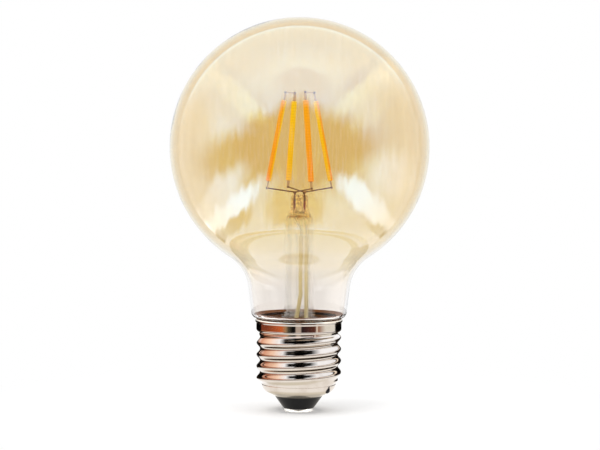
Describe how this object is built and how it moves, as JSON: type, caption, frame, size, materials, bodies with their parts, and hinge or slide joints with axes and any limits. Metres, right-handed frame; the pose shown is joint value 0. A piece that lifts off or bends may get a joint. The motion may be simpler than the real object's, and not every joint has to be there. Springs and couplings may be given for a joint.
{
  "type": "globe light bulb",
  "caption": "Globe light bulb: amber glass on a screw cap, with a cone of straight filaments on a glass stem and a driver board inside the cap.",
  "frame": {"origin": "centre of the contact's flat underside, on the bulb's axis", "axes": "+Z along the axis from the cap to the globe, -Y towards the front of the picture"},
  "size_m": [0.08, 0.08, 0.1214],
  "materials": {
    "amber_glass": "clear amber lustre",
    "stem_glass": "clear",
    "nickel_plate": "bright nickel plate",
    "black_insulator": "gloss",
    "contact_metal": "satin",
    "cap_cement": "matt brown",
    "board_laminate": "satin",
    "capacitor_can": "sleeved",
    "resistor_body": "lacquered",
    "chip_plastic": "matt",
    "chip_ceramic": "glazed",
    "tinned_wire": "tinned",
    "filament_coat": "silicone with phosphor",
    "nickel_tab": "satin",
    "nickel_wire": "drawn",
    "seal_wire": "oxidised copper sheath",
    "wire_sleeve": "woven glass sleeve"
  },
  "bodies": {
    "root": {"bridge_rectifier": "chip_plastic", "cap_cement": "cap_cement", "cap_insulator": "black_insulator", "cap_shell": "nickel_plate", "centre_contact": "contact_metal", "chip_resistors": "chip_ceramic", "cross_wire_left": "nickel_wire", "cross_wire_right": "nickel_wire", "driver_board": "board_laminate", "driver_chip": "chip_plastic", "exhaust_tube": "stem_glass", "filament_front": "filament_coat", "filament_left": "filament_coat", "filament_rear": "filament_coat", "filament_right": "filament_coat", "fusible_resistor": "resistor_body", "globe_glass": "amber_glass", "inner_lead_left": "nickel_wire", "inner_lead_right": "nickel_wire", "lead_sleeve_left": "wire_sleeve", "lead_sleeve_right": "wire_sleeve", "live_wire": "tinned_wire", "lower_tab_front": "nickel_tab", "lower_tab_left": "nickel_tab", "lower_tab_rear": "nickel_tab", "lower_tab_right": "nickel_tab", "neutral_wire": "tinned_wire", "outer_lead_left": "tinned_wire", "outer_lead_right": "tinned_wire", "seal_wire_left": "seal_wire", "seal_wire_right": "seal_wire", "smoothing_capacitor": "capacitor_can", "stem_glass": "stem_glass", "top_link_front": "nickel_wire", "top_link_left": "nickel_wire", "upper_tab_front": "nickel_tab", "upper_tab_left": "nickel_tab", "upper_tab_rear": "nickel_tab", "upper_tab_right": "nickel_tab"}
  },
  "joints": []
}
